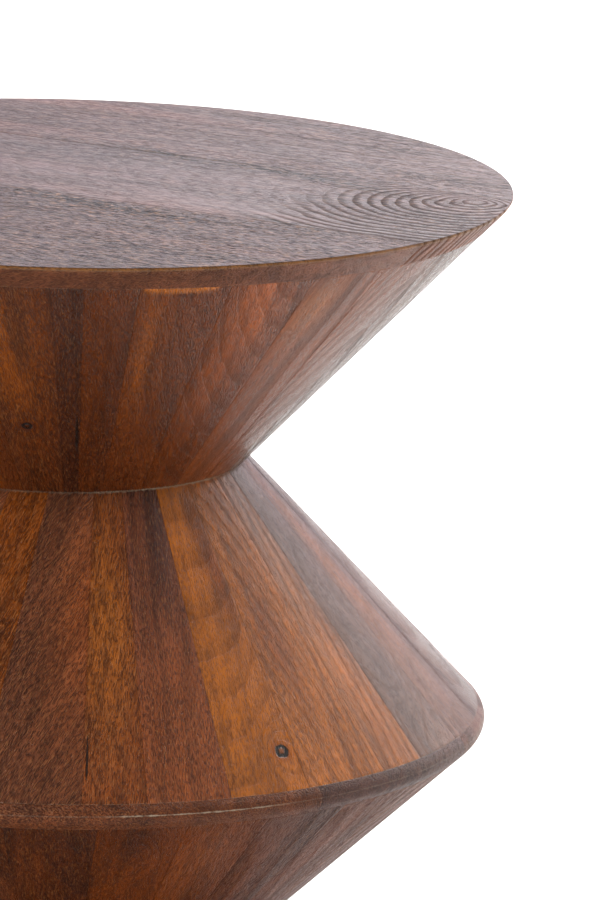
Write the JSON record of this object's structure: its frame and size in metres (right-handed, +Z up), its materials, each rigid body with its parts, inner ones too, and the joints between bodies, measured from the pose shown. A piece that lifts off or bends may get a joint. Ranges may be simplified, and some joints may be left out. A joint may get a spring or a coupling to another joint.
{
  "type": "round side table",
  "caption": "Round wooden side table of stacked stave cones with a flat board top, two narrow waists and a wide belly, standing on small floor glides.",
  "frame": {"origin": "on the floor, under the middle of the table", "axes": "+Z up along the table's axis; -Y towards the side the picture shows; +X to the right of it"},
  "size_m": [0.457, 0.457, 0.5445],
  "materials": {
    "stave_wood": "oiled and waxed, open pores, satin",
    "slab_wood": "oiled and waxed, open pores, satin",
    "plywood": "raw plywood",
    "dowel_beech": "raw beech",
    "zinc_steel": "zinc plated",
    "nylon": "moulded nylon"
  },
  "bodies": {
    "root": {"base_board_1": "slab_wood", "base_board_2": "slab_wood", "base_board_3": "slab_wood", "base_board_4": "slab_wood", "base_cone_former": "plywood", "base_cone_former_screws": "zinc_steel", "base_cone_staves_1": "stave_wood", "base_cone_staves_2": "stave_wood", "base_cone_staves_3": "stave_wood", "base_cone_staves_4": "stave_wood", "base_cone_staves_5": "stave_wood", "base_cone_staves_6": "stave_wood", "base_cone_staves_7": "stave_wood", "base_cone_staves_8": "stave_wood", "base_cone_waist_plug": "plywood", "belly_board_1": "slab_wood", "belly_board_2": "slab_wood", "belly_board_3": "slab_wood", "belly_board_4": "slab_wood", "floor_glides": "nylon", "glide_nails": "zinc_steel", "lower_belly_former": "plywood", "lower_belly_former_screws": "zinc_steel", "lower_belly_staves_1": "stave_wood", "lower_belly_staves_2": "stave_wood", "lower_belly_staves_3": "stave_wood", "lower_belly_staves_4": "stave_wood", "lower_belly_staves_5": "stave_wood", "lower_belly_staves_6": "stave_wood", "lower_belly_waist_plug": "plywood", "lower_waist_dowels": "dowel_beech", "lower_waist_screws": "zinc_steel", "top_board_1": "slab_wood", "top_board_2": "slab_wood", "top_board_3": "slab_wood", "top_board_4": "slab_wood", "top_cone_former": "plywood", "top_cone_former_screws": "zinc_steel", "top_cone_staves_1": "stave_wood", "top_cone_staves_2": "stave_wood", "top_cone_staves_3": "stave_wood", "top_cone_staves_4": "stave_wood", "top_cone_staves_5": "stave_wood", "top_cone_staves_6": "stave_wood", "top_cone_waist_plug": "plywood", "upper_belly_former": "plywood", "upper_belly_former_screws": "zinc_steel", "upper_belly_staves_1": "stave_wood", "upper_belly_staves_2": "stave_wood", "upper_belly_staves_3": "stave_wood", "upper_belly_staves_4": "stave_wood", "upper_belly_staves_5": "stave_wood", "upper_belly_staves_6": "stave_wood", "upper_belly_staves_7": "stave_wood", "upper_belly_staves_8": "stave_wood", "upper_belly_waist_plug": "plywood", "upper_waist_dowels": "dowel_beech", "upper_waist_screws": "zinc_steel"}
  },
  "joints": []
}
